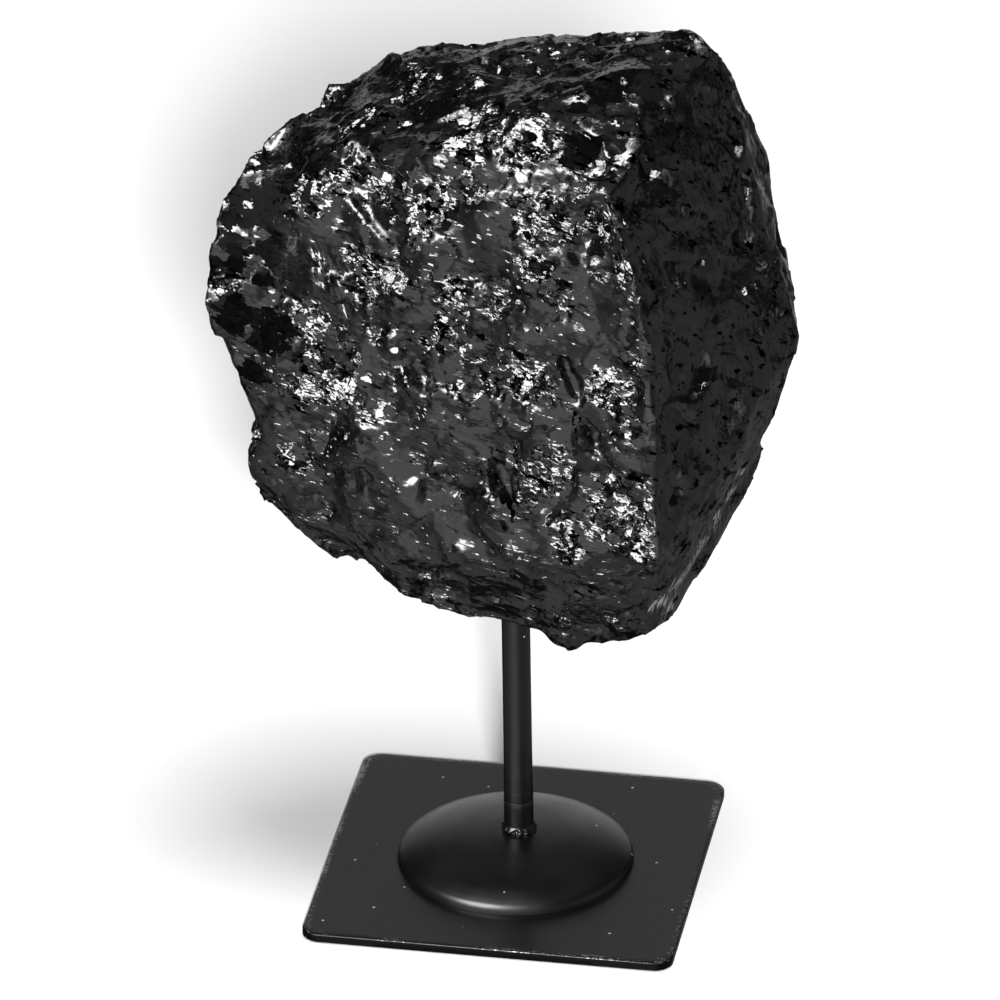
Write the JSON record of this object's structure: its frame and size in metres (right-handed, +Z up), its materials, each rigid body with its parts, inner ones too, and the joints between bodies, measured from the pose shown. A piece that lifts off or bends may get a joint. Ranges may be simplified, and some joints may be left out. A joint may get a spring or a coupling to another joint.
{
  "type": "raw black tourmaline on a metal stand",
  "caption": "Broken lump of raw black tourmaline drilled from below and set on a round post, which stands on a square steel foot with a pressed dome.",
  "frame": {"origin": "on the table, under the middle of the square foot; the post is welded 0.9 mm to its right and leans back over it", "axes": "+Z up along the post; -Y faces the side that is shown, with the lump's broad glittering face; +X to the right seen from there"},
  "size_m": [0.1558, 0.101, 0.2496],
  "materials": {
    "black_paint": "satin black paint on sheet steel, with fine specks and worn edges",
    "tourmaline": "broken black crystal, glassy on its small facets, with smooth and rough patches"
  },
  "bodies": {
    "root": {"base_plate": "black_paint", "post": "black_paint", "weld_bead": "black_paint", "tourmaline": "tourmaline"}
  },
  "joints": []
}
